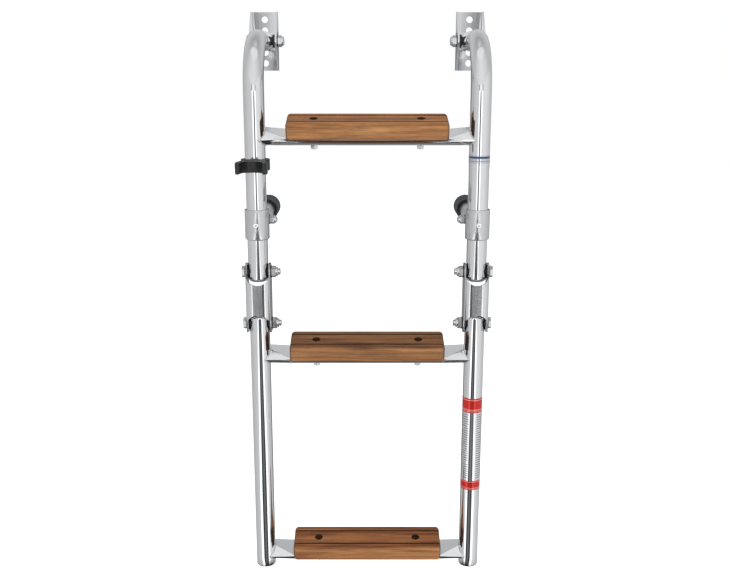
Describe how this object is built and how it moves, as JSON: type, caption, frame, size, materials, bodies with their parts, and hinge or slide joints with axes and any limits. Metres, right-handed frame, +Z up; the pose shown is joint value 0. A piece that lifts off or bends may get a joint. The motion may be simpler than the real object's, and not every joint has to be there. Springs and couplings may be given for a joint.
{
  "type": "folding boarding ladder",
  "caption": "Folding hull-mounted boarding ladder: bent tube rails on pivot brackets, sloped wooden treads, double-pivot side links, sliding stand-offs with rubber pads and a stowing clip.",
  "frame": {"origin": "on the hull plane (back faces of the two brackets), midway between the brackets, at the height of the bracket pivots", "axes": "+Z up along the rails, +Y towards the hull, +X to the right seen from the water"},
  "size_m": [0.3132, 0.199, 0.7162],
  "materials": {
    "polished_steel": "mirror polished stainless tube",
    "pressed_steel": "polished stainless tube, pressed flat, slightly satin on the flat",
    "sheet_steel": "polished stainless sheet, folded",
    "satin_steel": "satin stainless",
    "fastener_steel": "stainless fasteners, machined",
    "black_nylon": "moulded black nylon",
    "clip_plastic": "moulded black plastic, fine matt grain",
    "rubber": "fluted black rubber",
    "teak": "oiled teak, grain along the tread",
    "label_film": "silver film with plain coloured bands, no lettering",
    "band_film": "plain grey-blue film"
  },
  "bodies": {
    "hull_brackets": {"bracket_bolt_left": "fastener_steel", "bracket_bolt_right": "fastener_steel", "bracket_left": "sheet_steel", "bracket_nuts": "fastener_steel", "bracket_right": "sheet_steel", "bracket_washers": "black_nylon"},
    "upper_section": {"bracket_bushes": "black_nylon", "cross_tube_top": "pressed_steel", "hinge_bushes_upper": "black_nylon", "plain_band": "band_film", "stowing_clip": "clip_plastic", "tread_nuts_top": "fastener_steel", "tread_screws_top": "fastener_steel", "tread_top": "teak", "upper_tube_left": "polished_steel", "upper_tube_right": "polished_steel"},
    "standoff_left": {"standoff_arm_left": "satin_steel", "standoff_bolt_left": "fastener_steel", "standoff_lock_screw_left": "fastener_steel", "standoff_nut_left": "fastener_steel", "standoff_pad_left": "rubber", "standoff_sleeve_left": "satin_steel", "standoff_washers_left": "black_nylon"},
    "standoff_right": {"standoff_arm_right": "satin_steel", "standoff_bolt_right": "fastener_steel", "standoff_lock_screw_right": "fastener_steel", "standoff_nut_right": "fastener_steel", "standoff_pad_right": "rubber", "standoff_sleeve_right": "satin_steel", "standoff_washers_right": "black_nylon"},
    "hinge_links": {"hinge_bolts_lower": "fastener_steel", "hinge_bolts_upper": "fastener_steel", "hinge_nuts_lower": "fastener_steel", "hinge_nuts_upper": "fastener_steel", "hinge_washers_lower": "black_nylon", "hinge_washers_upper": "black_nylon", "link_left": "sheet_steel", "link_right": "sheet_steel"},
    "lower_section": {"cross_tube_bottom": "pressed_steel", "cross_tube_middle": "pressed_steel", "foot_plugs": "black_nylon", "hinge_bushes_lower": "black_nylon", "lower_tube_left": "polished_steel", "lower_tube_right": "polished_steel", "safety_label": "label_film", "tread_bottom": "teak", "tread_middle": "teak", "tread_nuts_bottom": "fastener_steel", "tread_nuts_middle": "fastener_steel", "tread_screws_bottom": "fastener_steel", "tread_screws_middle": "fastener_steel"}
  },
  "joints": [
    {"name": "ladder_swing", "type": "hinge", "parent": "hull_brackets", "child": "upper_section", "pos_m": [0, -0.025, 0], "axis": [-1, 0, 0], "range_deg": [0, 100]},
    {"name": "standoff_slide_left", "type": "slide", "parent": "upper_section", "child": "standoff_left", "axis": [0, 0, 1], "range_m": [-0.012, 0.045]},
    {"name": "standoff_slide_right", "type": "slide", "parent": "upper_section", "child": "standoff_right", "axis": [0, 0, 1], "range_m": [-0.012, 0.045]},
    {"name": "upper_fold", "type": "hinge", "parent": "upper_section", "child": "hinge_links", "pos_m": [0, -0.15, -0.279], "axis": [-1, 0, 0], "range_deg": [0, 95]},
    {"name": "lower_fold", "type": "hinge", "parent": "hinge_links", "child": "lower_section", "pos_m": [0, -0.15, -0.345], "axis": [-1, 0, 0], "range_deg": [0, 95]}
  ]
}
